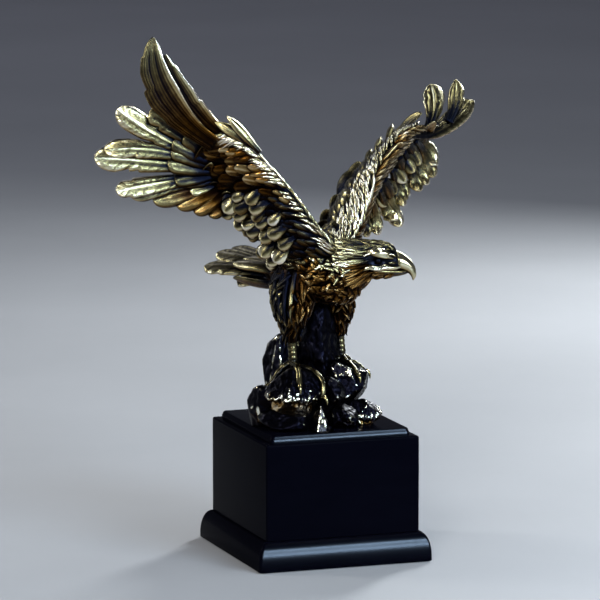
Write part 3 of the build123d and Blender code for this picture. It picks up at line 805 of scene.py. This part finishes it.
# ---- eagle: tail ----------------------------------------------------------------------------
tail = Casting()
tail_root = np.array([-20, -4, 172.0])
TAIL_FACE = bird((0.35, -0.45, 0.85))
for tip, rise in (((-62, 21, 175), 0), ((-69, 9, 179), 1), ((-74, -4, 183), 2), ((-76, -15, 181), 1),
                  ((-73, -28, 174), 0), ((-54, -17, 166), -2)):
    tip = np.array(tip, float)
    start = tail_root + (tip - tail_root) * 0.06 + np.array([0, (tip[1] + 4) * 0.28, rise])
    middle = (start + tip) / 2 + np.array([0, 0, 1.5])
    feather(tail, bird(np.array([start, middle, tip])), TAIL_FACE, 14, 2.6, rng, clump=7, notches=2, puff=0.5,
            shade=0.18, **FLIGHT)
for k in range(11):
    share, far = (k / 5, 46) if k < 6 else ((k - 5.5) / 5, 34)
    side = -24 + 44 * share
    start = np.array([-16, -4 + (side + 4) * 0.5, 178 - 0.006 * (side + 4) ** 2])
    tip = np.array([-18 - (far - 16) - 3 * math.cos(4 * share), -4 + (side + 4) * far / 48,
                    181 - 0.008 * (side + 4) ** 2])
    # The lower layer faces down and is set darker than the upper one, painted shade.
    for height, bow, face, shade in ((0, 1.8, TAIL_FACE, 0.12), (-9, -1.5, bird((0, -0.6, -0.8)), -0.05)):
        lift = np.array([0, 0, height])
        middle = (start + tip) / 2 + np.array([0, 0, bow])
        feather(tail, bird(np.array([start + lift, middle + lift, tip + lift])), face, 10, 2.2, rng,
                **dict(LUMP, shade=shade, puff=0.5, sharp=0.6, groove=0.2, ridge=0.3))
tail.build("tail_fan", eagle_bronze, ["tail"])

# ---- eagle: wings ---------------------------------------------------------------------------


def wing_arm(stations, under):
    """A flattened limb through (leading edge, trailing edge, thickness).

    under is a way that points out of its underside."""
    leading, trailing = (np.array([station[k] for station in stations], float) for k in (0, 1))
    middle = (leading + trailing) / 2
    sections = []
    for i, (_, _, thick) in enumerate(stations):
        along = middle[min(i + 1, len(middle) - 1)] - middle[max(i - 1, 0)]
        half = (leading[i] - trailing[i]) / 2
        face = unit(np.cross(along, half))
        if np.dot(face, under) < 0:
            face = -face
        sections.append((bird(middle[i]), bird(half), bird(face * thick / 2)))
    return Tube(sections)


right_arm = wing_arm([
    ((21, -1, 190), (-15, -3, 181), 20),
    ((21, -14, 203), (-10, -17, 187), 17),
    ((18, -29, 223), (-15, -29, 204), 13),
    ((12, -43, 242), (-19, -41, 218), 11),
    ((5, -55, 257), (-23, -52, 229), 10),
    ((-2, -64, 266), (-26, -62, 237), 8),
    ((-8, -71, 268), (-24, -73, 250), 6),
], (0, -1, -0.8))
left_arm = wing_arm([
    ((20, 3, 190), (-15, 4, 182), 20),
    ((16, 20, 202), (-11, 17, 190), 18),
    ((13, 30, 215), (-13, 29, 206), 16),
    ((9, 42, 231), (-15, 43, 219), 15),
    ((5, 57, 244), (-16, 60, 232), 13),
    ((3, 72, 256), (-15, 76, 242), 10),
    ((2, 84, 260), (-13, 86, 250), 6),
], (0, 1, -0.8))


def dress_arm(name, node_name, tube, seed, rows, extra=()):
    """The scaly leading edge and the rows of coverts on both faces of a wing.

    Each row is (degrees round the limb, its span, spacing, length, width, slope, lift, kind); those
    over 0 are on the underside."""
    chance = np.random.default_rng(seed)
    casting = Casting()
    tube.shell(casting, 60, 40, 0.0)
    for phi, span, step, length, width, slope, lift, kind in rows:
        way = (slope, math.copysign(1.0, phi))
        cover_row(casting, tube, phi, span, step, way, length, width, chance, shift=0.4 * chance.random(),
                  tilt=lift, **kind)
    for path, width, shade in extra:
        feather(casting, bird(np.array(path, float)), bird((0.9, -0.5, 0.2)), width, 1.6, chance,
                **dict(FLIGHT, sharp=0.5, taper=0.7, groove=0.2, shade=shade))
    return casting.build(name, eagle_bronze, [node_name])


def plain_rows(face):
    """Coverts all over one face: face is 1 for the underside, -1 for the upper side."""
    sizes = ((143, 9.5, 17, 12.0, 0.6), (122, 9.0, 15, 11.5, 0.7), (100, 8.6, 14, 11.0, 0.8),
             (78, 8.0, 13, 10.0, 0.9), (55, 6.2, 11, 7.5, 1.2))
    return [(face * phi, (0.03, 0.98), step, length, width, slope, 2.1, PLAIN)
            for phi, step, length, width, slope in sizes]


def edge_rows(places, last=0.98):
    """Narrow feathers along the leading edge; a whole turn less sends them over the upper side."""
    return [(phi, (0.0, last), 3.4, 8.5, 3.4, 2.4, 1.3, EDGE) for phi in places]


RIGHT_ROWS = plain_rows(-1) + [
    (150, (0.00, 0.60), 8.6, 13, 9.5, 0.3, 1.6, DARK),
    (128, (0.00, 0.52), 8.0, 12, 9.0, 0.4, 1.6, DARK),
    (108, (0.00, 0.48), 8.0, 12, 9.0, 0.4, 1.6, DARK),
    (90, (0.00, 0.46), 7.0, 11, 8.0, 0.7, 1.4, DARK),
    (68, (0.00, 0.46), 6.4, 10, 7.0, 1.0, 1.3, DARK),
    (46, (0.00, 0.40), 5.6, 10, 5.5, 1.6, 1.2, DARK),
    (28, (0.00, 0.34), 5.0, 10, 4.5, 2.0, 1.2, DARK),
    (146, (0.62, 0.98), 9.0, 15, 11.5, 0.9, 2.0, PAINTED_REFLECTION_LUMP),
    (124, (0.58, 1.00), 9.5, 16, 12.5, 0.9, 2.6, PAINTED_REFLECTION_LUMP),
    (102, (0.54, 1.00), 9.5, 16, 12.0, 1.0, 2.6, PAINTED_REFLECTION_LUMP),
    (80, (0.48, 1.00), 8.6, 15, 10.5, 1.2, 2.4, PAINTED_REFLECTION_LUMP),
    (58, (0.45, 1.00), 7.4, 14, 8.5, 1.7, 2.0, PAINTED_REFLECTION_LUMP),
    (38, (0.37, 1.00), 6.6, 14, 6.5, 2.4, 1.5, PAINTED_REFLECTION_LUMP),
    (24, (0.30, 1.00), 5.6, 12, 5.0, 2.4, 1.2, PAINTED_REFLECTION_LUMP),
] + edge_rows((8, 0, -10, -21, -32))
LEFT_ROWS = plain_rows(-1) + plain_rows(1) + [
    (72, (0.30, 0.98), 5.0, 13, 7.0, 1.2, 2.4, PAINTED_REFLECTION_STREAK),
    (56, (0.10, 0.98), 4.4, 13, 6.0, 1.7, 2.2, PAINTED_REFLECTION_STREAK),
    (42, (0.10, 0.98), 4.0, 13, 5.0, 2.2, 1.8, PAINTED_REFLECTION_STREAK),
    (30, (0.05, 0.98), 4.0, 12, 4.4, 2.6, 1.4, PAINTED_REFLECTION_STREAK),
    (20, (0.05, 0.98), 3.8, 12, 4.0, 3.0, 1.2, PAINTED_REFLECTION_STREAK),
    (8, (0.40, 0.98), 3.8, 12, 4.4, 2.6, 1.5, PAINTED_REFLECTION_STREAK),
    (356, (0.45, 0.98), 3.8, 12, 4.4, 2.6, 1.7, PAINTED_REFLECTION_STREAK),
    (344, (0.55, 0.98), 3.8, 12, 4.4, 3.0, 1.6, PAINTED_REFLECTION_STREAK),
] + edge_rows((12 - 360, 1 - 360), 0.45) + edge_rows((-12,), 0.6) + edge_rows((-24, -34, -44, -54))
dress_arm("right_wing_coverts", "right_wing_arm", right_arm, 21, RIGHT_ROWS, (
    (((8, -52, 256), (4, -61, 267), (-2, -70, 279)), 7, 0.1),
    (((5, -57, 260), (0, -65, 268), (-8, -75, 275)), 8, 0.0),
    (((-2, -62, 262), (-9, -72, 266), (-16, -84, 268)), 9, -0.1),
))
dress_arm("left_wing_coverts", "left_wing_arm", left_arm, 22, LEFT_ROWS, (
    (((-4, 44, 232), (-8, 52, 241), (-12, 58, 247)), 6, 0.0),
    (((-4, 52, 238), (-8, 60, 247), (-12, 66, 254)), 6, 0.05),
    (((-4, 62, 246), (-8, 70, 254), (-13, 77, 261)), 6, 0.0),
))

RIGHT_UNDER = bird((0.68, -0.68, 0.27))
BLADE_FACE = bird((0.80, -0.52, -0.18))


def quills(name, node_name, paths, up, seed, extra=(), covers=()):
    """Long feathers through (root, middle, tip), with coverts over their roots and hanging ones."""
    chance = np.random.default_rng(seed)
    casting = Casting()
    for index, (path, width, more) in enumerate(paths):
        look = dict(FLIGHT, clump=6.0, notches=2, root_dark=(0.65, 0.65)) | more
        spine = bird(np.array(path, float))
        feather(casting, spine, look.pop("face", up), width, 2.4, chance, **look)
        if index in covers:
            near_root = np.array([bow_point(spine, t) for t in (-0.05, 0.17, 0.34)])
            feather(casting, near_root + unit(up) * 1.9, up, width * 0.8, 1.8, chance,
                    **dict(LUMP, puff=0.2, ridge=0.25, groove=0.15, shade=-0.02, sharp=0.7, spread=0.25))
    for tube, s, phi, way, length, width, more in extra:
        hang(casting, tube, s, math.radians(phi), way, length, width, chance, **dict(OVAL, **more))
    return casting.build(name, eagle_bronze, [node_name])


# Broad blades: a painted warm reflection towards the root and a painted highlight along the lit edge.
BLADE = dict(face=BLADE_FACE, ribs=5.3, rib_wear=0.34, clump=0, notches=3, blunt=1.6, taper=0.6,
             sharp=0.5, widest=0.5, cup=0.02, cell=0.62, shade=-0.20, ridge=0.0, keel=0.0, groove=0.24,
             rim=1.3, painted_highlight_side=-1, brown=(1.3, -0.2), root_dark=(0.2, 0.2))
right_primary_paths = [
    (((-9, -74, 261), (-16.7, -107.5, 293), (-16, -116, 329)), 21, BLADE),
    (((-7, -63, 263), (-13, -91.5, 285.5), (-14, -108.5, 318)), 19, BLADE),
    (((-17, -74, 256), (-23, -93, 271), (-29, -108, 283)), 15, dict(shade=0.0)),
    (((-19, -73, 252), (-29, -102, 267), (-40, -125, 284)), 15, dict(shade=0.2)),
    (((-20, -71, 248), (-30, -104, 258), (-43, -133, 259)), 13, dict(shade=0.1)),
    (((-22, -70, 245), (-32, -106, 251), (-45, -139, 255)), 16, dict(shade=0.22)),
    (((-24, -67, 240), (-31, -99, 237), (-39, -127, 234)), 13, dict(shade=0.16)),
    (((-26, -63, 237), (-32, -90, 235), (-40, -115, 230)), 12, dict(shade=0.05)),
]
right_secondary_paths = [
    (((-27, -61, 234), (-31, -83, 229), (-35, -101, 226)), 13, dict(LOBE, shade=0.1, brown=(1.2, 0.1))),
    (((-25, -58, 231), (-28, -73, 226), (-31, -86, 222)), 13, LOBE),
    (((-24, -54, 230), (-25, -65, 223), (-27, -75, 217)), 12, LOBE),
    (((-24, -49, 227), (-24, -57, 220), (-24, -65, 214)), 11, LOBE),
]
right_extra = []
jumble = np.random.default_rng(12)
for rank, (phi, first) in enumerate(((150, 0.64), (122, 0.60), (96, 0.56), (70, 0.50))):
    for k in range(8 - rank):
        s = first - 0.064 * k
        turn, size = jumble.uniform(-0.3, 0.3), jumble.uniform(0.82, 1.15)
        right_extra.append((right_arm, s + jumble.uniform(-0.012, 0.012), phi + jumble.uniform(-6, 6),
                            (0.25 - 0.06 * k + turn, 1.0), (14 - 0.5 * rank) * size, 9.8 * size, dict(
                                SPOON, lift=0.2 + 0.05 * rank, bow=1.2, toward=KEY_FACE * 3,
                                shade=jumble.choice((0.42, 0.3, 0.16)), root_dark=(0.75, 0.5))))
        if rank < 3:
            right_extra.append((right_arm, s, -phi, (0.4 - 0.07 * k, 1.0), 17 - rank, 10,
                                dict(lift=0.1, bow=0.6)))
quills("right_primary_feathers", "right_primaries", right_primary_paths, RIGHT_UNDER, 31, (),
       (2, 3, 4, 5, 6, 7))
quills("right_secondary_feathers", "right_secondaries", right_secondary_paths, RIGHT_UNDER, 32,
       right_extra, (0,))

LEFT_UPPER = bird((0.78, -0.58, 0.15))
WINDOW_FACE = bird((0.885, -0.38, 0.27))    # the way of the faces that catch the cool front light
# Hanging feathers with a painted warm reflection towards the tip.
PENDANT = dict(clump=6, groove=0.2, ridge=-0.3, keel=-0.25, puff=0.3, sharp=0.7, widest=0.8, root=0.4,
               cup=0.3, brown=(-0.6, 0.3), root_dark=(0.4, 0.4), shaft_width=0.1, spread=0.15,
               face=WINDOW_FACE)
CURL = np.array([(0, 0, 0), (-5, 4, 0), (6, -5, 1)])


def pendant(root, middle, tip, width, shade):
    """A hanging feather, its middle drawn back and its tip forward."""
    return np.array((root, middle, tip), float) + CURL, width, dict(PENDANT, shade=shade)


left_primary_paths = [
    (((3, 79, 256), (-4, 111, 256), (-11, 145, 271)), 11, dict(shade=0.05)),
    (((1, 83, 256), (-7, 113, 257), (-10, 140, 272)), 12, dict(shade=0.0)),
    (((-3, 98, 258), (-7, 107, 271), (-14, 110, 284)), 16, dict(sharp=0.55, clump=5, shade=0.2, root=0.35)),
    (((-5, 118, 260), (-9, 128, 272), (-15, 133, 285)), 13, dict(sharp=0.45, taper=0.7, clump=5, shade=0.12)),
    pendant((-2, 89, 254), (-4, 99, 245), (-10, 110, 232), 13, 0.26),
    pendant((-1, 86, 251), (-3, 97, 239), (-9, 107, 225), 12, 0.2),
]
left_secondary_paths = [
    pendant((-2, 80, 248), (-3, 90, 234), (-8, 100, 221), 12, 0.26),
    pendant((0, 75, 245), (-1, 84, 230), (-6, 92, 218), 11, 0.14),
    pendant((0, 70, 240), (-2, 75, 226), (-7, 82, 213), 11, 0.24),
    pendant((1, 64, 234), (0, 70, 222), (-4, 77, 210), 10, 0.14),
    pendant((3, 55, 227), (2, 64, 211), (-4, 74, 197), 12, 0.3),
    pendant((3, 52, 223), (2, 59, 210), (-2, 68, 202), 11, 0.22),
    pendant((4, 44, 219), (3, 49, 206), (-4, 55, 194), 10, 0.24),
    pendant((5, 36, 213), (4, 40, 203), (-3, 44, 194), 9, 0.14),
]
left_extra = []
for k in range(8):
    s = 0.84 - 0.09 * k
    left_extra.append((left_arm, s, 150, (0.75 - 0.07 * k, 0.9), 18, 10, dict(lift=0.1, bow=0.8)))
    left_extra.append((left_arm, s, -150, (1.1, 0.5), 15, 10, dict(lift=-0.1, bow=0.3)))
    # The spoons carry a painted warm reflection towards the tip.
    left_extra.append((left_arm, s + 0.07, 100, (0.3, 0.9), 17, 10, dict(
        SPOON, lift=0.4, toward=WINDOW_FACE * 3, shade=0.32, brown=(-0.3, 0.3))))
quills("left_primary_feathers", "left_primaries", left_primary_paths, LEFT_UPPER, 33, (), (4,))
quills("left_secondary_feathers", "left_secondaries", left_secondary_paths, LEFT_UPPER, 34, left_extra,
       (0, 2, 4))

# ---- rocks ----------------------------------------------------------------------------------


def icosphere(level):
    bm = bmesh.new()
    bmesh.ops.create_icosphere(bm, subdivisions=level, radius=1.0)
    verts = np.array([v.co[:] for v in bm.verts])
    faces = [tuple(v.index for v in f.verts) for f in bm.faces]
    bm.free()
    return verts, faces


BALLS = {level: icosphere(level) for level in (5, 6)}
ROCK_FLOOR = 83.0


def rumple(points, scale, octaves=4):
    return np.array([noise.fractal(Vector(p) * scale, 0.7, 2.1, octaves) for p in points.tolist()])


class Stone:
    """A faceted boulder: a ball cut by planes, with worn edges, cracks and, perhaps, an overhang."""

    def __init__(self, centre, radii, seed, facets=15, level=5, ledge=None, rough=0.7, shade=0.0, crisp=0.025,
                 worn=1.7, cuts=()):
        chance = np.random.default_rng(seed)
        self.worn = worn
        self.centre, self.radii = np.array(centre, float), np.array(radii, float)
        cuts = np.array(cuts, float).reshape(-1, 4)
        self.planes = np.concatenate([unit(chance.normal(size=(facets, 3))), unit(cuts[:, :3])])
        self.depth = np.concatenate([chance.uniform(0.76, 1.02, facets), cuts[:, 3]])
        self.level, self.ledge, self.rough, self.shade, self.crisp = level, ledge, rough, shade, crisp

    def reach(self, ways):
        """How far the faceted ball goes along unit ways, and how close each is to an edge."""
        facing = ways @ self.planes.T
        cut = np.where(facing > 0.05, self.depth / np.maximum(facing, 0.05), 9.0)
        order = np.sort(cut, axis=1)
        radius = -self.crisp * np.log(np.sum(np.exp(-np.minimum(cut, 3) / self.crisp), axis=1))
        return np.minimum(radius, 1.12), np.exp(-((order[:, 1] - order[:, 0]) / 0.032) ** 2)

    def above(self, point, gap):
        """Moves a point out of the stone until it is gap clear of its face."""
        offset = (point - self.centre) / self.radii
        far = np.linalg.norm(offset)
        radius = self.reach((offset / max(far, 1e-6))[None, :])[0][0]
        if far >= radius:
            return point
        surface = self.centre + offset / far * radius * self.radii
        return surface + unit(surface - self.centre) * gap

    def cast(self, casting):
        ball, faces = BALLS[self.level]
        radius, edge = self.reach(ball)
        verts = self.centre + ball * radius[:, None] * self.radii
        wear, brown = np.full(len(verts), 0.02), np.zeros(len(verts))
        if self.ledge is not None:
            height, cut = self.ledge
            way = np.arctan2(ball[:, 1], ball[:, 0])
            teeth = rumple(np.stack([np.cos(way) * 9, np.sin(way) * 9, way * 0], 1), 0.9, 4)
            line = height + 1.6 * np.sin(2 * way + 1) + 3.0 * teeth
            inward = (verts - self.centre) * np.array([1, 1, 0.0])
            below = smooth(0.4, -2.6, verts[:, 2] - line)
            verts = verts - inward * (cut * below)[:, None]
            rim = np.exp(-((verts[:, 2] - line - 0.9) / 1.5) ** 2)
            flutes = smooth(-0.2, 1.0, np.sin(22 * way + 6 * teeth)) * (1 - below)
            flutes = flutes * smooth(14, 0, verts[:, 2] - line)
            verts = verts + unit(inward) * (1.5 * rim - 1.0 * flutes)[:, None]
            # Under the ledge the undercut is brightened and carries a painted warm reflection.
            wear = wear + 1.9 * rim * (0.75 + teeth) - 0.2 * flutes + 1.5 * below
            brown = below
        bumps = rumple(verts, 0.16, 4)
        fine = rumple(verts + 50, 0.5, 3)
        verts = verts + ball * (bumps * self.rough * 1.1 + fine * self.rough * 0.22)[:, None]
        worn = edge * smooth(-0.15, 0.35, bumps + 0.8 * fine)
        wear = wear + self.worn * worn + 0.40 * fine + 0.30 * bumps + self.shade
        verts[:, 2] = np.maximum(verts[:, 2], ROCK_FLOOR)
        casting.add(verts, faces, wear, brown=brown)


LEFT_BOULDER = Stone((-22, -19, 100.5), (19, 18, 17.5), 42, level=6, ledge=(102.0, 0.22), facets=18)
RIGHT_BOULDER = Stone((19, -5, 103), (14.5, 14, 17), 43, facets=4, level=6, crisp=0.02, cuts=(
    (0.24, -0.08, 0.95, 0.80), (0.83, -0.50, -0.07, 0.86), (0.55, -0.40, -0.67, 0.62),
    (-0.33, -0.93, 0.25, 0.78), (-0.73, -0.58, 0.12, 0.85), (0.35, -0.75, 0.50, 0.84),
    (0.1, -0.8, -0.55, 0.78)))
SHARD = Stone((-9.5, -39.5, 85), (8.2, 7.0, 13.5), 46, facets=1, shade=0.75, crisp=0.012, rough=0.4, cuts=(
    (-0.06, -0.88, 0.475, 0.47), (0.62, -0.64, 0.45, 0.50), (-0.80, -0.35, 0.49, 0.53),
    (0.84, -0.10, 0.52, 0.50), (0.3, 0.85, 0.45, 0.5)))
SMALL_STONE = Stone((21.5, -20, 89), (13, 11, 9.5), 47, facets=5, crisp=0.02, rough=0.6, level=6,
                    ledge=(88.0, 0.16), cuts=(
                        (-0.60, -0.55, 0.58, 0.66), (0.2, -0.95, 0.1, 0.86), (0.75, -0.3, 0.6, 0.86)))
PINNACLE = Stone((4, 8, 116), (15, 14, 44), 45, level=6, rough=1.1, shade=-0.1, worn=0.0, crisp=0.06)
STONES = (
    Stone((-1, 1, 85), (31, 30, 9), 41, level=6),
    LEFT_BOULDER,
    Stone((-35, -9, 94), (12, 13, 17), 62, facets=22),
    Stone((-24, -22, 88), (18, 17, 9), 53, shade=-0.1),
    RIGHT_BOULDER,
    Stone((-18, 17, 112), (9.5, 10, 27), 44),
    PINNACLE,
    SHARD,
    SMALL_STONE,
    Stone((20, 18, 93), (15, 14, 13), 48),
    Stone((-8, 28, 91), (17, 11, 10), 49),
    Stone((8, -30, 88), (9, 8, 8), 50, facets=9),
    Stone((4, -14, 97), (10, 12, 14), 51),
)
rocks = Casting()
for stone in STONES:
    stone.cast(rocks)
rocks.build("rock_casting", rock_bronze, ["rock_base"])

# ---- eagle: legs ----------------------------------------------------------------------------
TOES = {
    "right": ((-4, -36, 108), (22, -33, 108), (30, -16, 102), (-14, -10, 113)),
    "left": ((8, 8, 110), (19, 15, 107), (15, 26, 109), (-12, 26, 112)),
}
THIGH = (      # ahead, to the side, up, half length, half width
    (-1, 13, 180, 14, 11), (-2, 16, 168, 15, 12), (0, 18.5, 157, 13, 11), (1, 20, 149, 9, 8),
    (1, 20, 142, 5, 5))
TROUSER = dict(STREAK, spread=0.3, groove=0.2)


def knuckles(s, phi):
    return 0.5 * np.abs(np.sin(s * math.pi * 4)) - 0.25


def scutes(s, phi):
    return 0.3 * np.abs(np.sin(s * math.pi * 7))


for side_name, side, girth, boulder in (("right", -1, 1.0, LEFT_BOULDER), ("left", 1, 0.8, RIGHT_BOULDER)):
    leg = Casting()
    leg_y = side * 20.0
    thigh = Tube([(bird((ahead, side * out, up)), bird((long * girth, 0, 0)), bird((0, wide * girth, 0)))
                  for ahead, out, up, long, wide in THIGH] +
                 [(bird((1, leg_y, 134)), bird((3.2, 0, 0)), bird((0, 3.2, 0)))])
    # The thigh shell carries the full painted warm reflection.
    thigh.shell(leg, 40, 32, 0.0, brown=1.0)
    for row in range(12):
        s = -0.02 + 0.075 * row
        here = max(s, 0.0)
        wide = 5.2 - 0.2 * row
        for phi in ring_places(thigh, here, wide * 0.82, 7, row % 2, 0.1, rng):
            # Thigh feathers are set dark; those of the left leg and on the front of the right one carry a
            # painted warm reflection.
            cover(leg, thigh, here, phi, (1.0, rng.uniform(-1.0, 1.0)), 9 * rng.uniform(0.6, 1.3),
                  wide, 1.3, rng, tilt=rng.uniform(0.8, 2.4), shade=rng.choice((-0.75, -0.6, -0.15)),
                  brown=(0.9, 0.9) if side > 0 or math.cos(phi) > 0.6 else (0.1, 0.0), **TROUSER)
    ankle = bird((2, leg_y, 121))
    shank = rod_tube([bird((1, leg_y, 142)), bird((1, leg_y, 134)), bird((2, leg_y, 127)), ankle],
                     [3.4, 2.8, 2.6, 3.2], side=FORWARD)
    shank.shell(leg, 36, 20, 0.6, scutes)
    knob(leg, ankle, (3.8, 3.8, 3.2), wear=0.55)
    for tip in TOES[side_name]:
        tip = bird(np.array(tip, float))
        level = (tip - ankle) * np.array([1, 1, 0])
        out = unit(level)
        line = [ankle + out * 0.8 - UP * 0.4]
        for share in (0.28, 0.52, 0.76, 1.0):
            at = ankle + level * share * 0.86 + UP * (tip[2] - ankle[2]) * share ** 1.4
            at = at + UP * 1.6 * math.sin(math.pi * share)
            line.append(boulder.above(at, 1.3))
        toe = rod_tube(line, [2.4, 2.2, 2.0, 1.9, 1.6])
        toe.shell(leg, 34, 16, 0.58, knuckles)
        heel = line[-1]
        claw = rod_tube([heel - out * 0.6, heel + out * 1.8 + UP * 0.3, heel + out * 3.4 - UP * 1.4,
                         heel + out * 3.8 - UP * 4.2], [1.5, 1.4, 0.9, 0.25])
        claw.shell(leg, 20, 14, 0.8)
    leg.build(side_name + "_leg_casting", eagle_bronze, [side_name + "_leg"])

# ---- lights, camera, floor ------------------------------------------------------------------
AIM = Vector((-8.7, 3.0, 158.3)) * MM
CAMERA_AZIMUTH = math.radians(-19.3)
CAMERA_HEIGHT = math.radians(9.0)
CAMERA_REACH = 3.0
LENS = 289.3


def look_at(thing, at, target):
    thing.location = at
    thing.rotation_euler = (Vector(target) - Vector(at)).to_track_quat("-Z", "Y").to_euler()


camera = bpy.data.objects.new("camera", bpy.data.cameras.new("camera"))
camera.data.lens = LENS
camera.data.clip_start = 0.1
camera.data.clip_end = 50.0
bpy.context.scene.collection.objects.link(camera)
away = Vector((
    math.sin(CAMERA_AZIMUTH) * math.cos(CAMERA_HEIGHT),
    -math.cos(CAMERA_AZIMUTH) * math.cos(CAMERA_HEIGHT),
    math.sin(CAMERA_HEIGHT),
))
look_at(camera, AIM + away * CAMERA_REACH, AIM)
bpy.context.scene.camera = camera


def softbox(name, at, target, size, watts, colour=(1.0, 1.0, 1.0)):
    data = bpy.data.lights.new(name, "AREA")
    data.shape = "RECTANGLE"
    data.size, data.size_y = size
    data.energy = watts
    data.color = colour
    lamp = bpy.data.objects.new(name, data)
    bpy.context.scene.collection.objects.link(lamp)
    look_at(lamp, at, target)
    return lamp


CENTRE = (0.0, 0.0, 0.2)
softbox("front_key", (-0.9, -1.5, 1.0), CENTRE, (0.45, 0.45), 20.0)
softbox("overhead", (0.5, -0.25, 1.6), CENTRE, (0.9, 0.35), 7.0, (0.86, 0.93, 1.0))
softbox("window", (0.61, -1.65, 0.73), (0.0, 0.0, 0.1), (0.9, 0.3), 30.0, (0.60, 0.78, 1.0))
base_strip = softbox("base_strip", (0.61, -1.65, 0.73), (0.0, 0.0, 0.1), (1.2, 0.7), 2900.0,
                     (0.50, 0.72, 1.0))
base_only = bpy.data.collections.new("base_only")
for piece in (foot_board, top_slab):
    base_only.objects.link(piece)
base_strip.light_linking.receiver_collection = base_only
base_strip.visible_diffuse = False
softbox("back_right", (0.9, 0.9, 0.7), CENTRE, (0.2, 0.7), 16.0, (0.9, 0.95, 1.0))
softbox("back_left", (-1.1, 0.7, 0.8), CENTRE, (0.2, 0.6), 7.0)
softbox("far_floor", (0.0, 3.0, 2.2), (0.0, 3.4, 0.0), (3.0, 1.0), 9.0, (0.80, 0.82, 1.0))
softbox("front_right", (1.0, -1.3, 0.7), CENTRE, (0.15, 0.5), 3.0)

world = bpy.data.worlds.new("studio")
bpy.context.scene.world = world
world.use_nodes = True
sky = Graph(world.node_tree)
upward = sky.node("SeparateXYZ", Vector=sky.node("TexCoord").outputs["Generated"]).outputs[2]
SKY_STOPS = [(0.0, (0.17, 0.18, 0.22)), (0.35, (0.075, 0.08, 0.10)), (1.0, (0.02, 0.02, 0.03))]
sky.put(world.node_tree.nodes["Background"].inputs["Color"], sky.ramp(upward, SKY_STOPS))
bpy.context.scene.view_settings.view_transform = "Standard"

floor_mesh = bpy.data.meshes.new("floor")
floor_mesh.from_pydata([(-4, -4, 0), (4, -4, 0), (4, 4, 0), (-4, 4, 0)], [], [(0, 1, 2, 3)])    # metres
floor = bpy.data.objects.new("floor", floor_mesh)
bpy.context.scene.collection.objects.link(floor)
floor.data.materials.append(patterned(
    "pale_floor", [(0.3, (0.36, 0.365, 0.37)), (0.7, (0.40, 0.405, 0.41))], 3.0, (0.55, 0.7), 0.02))
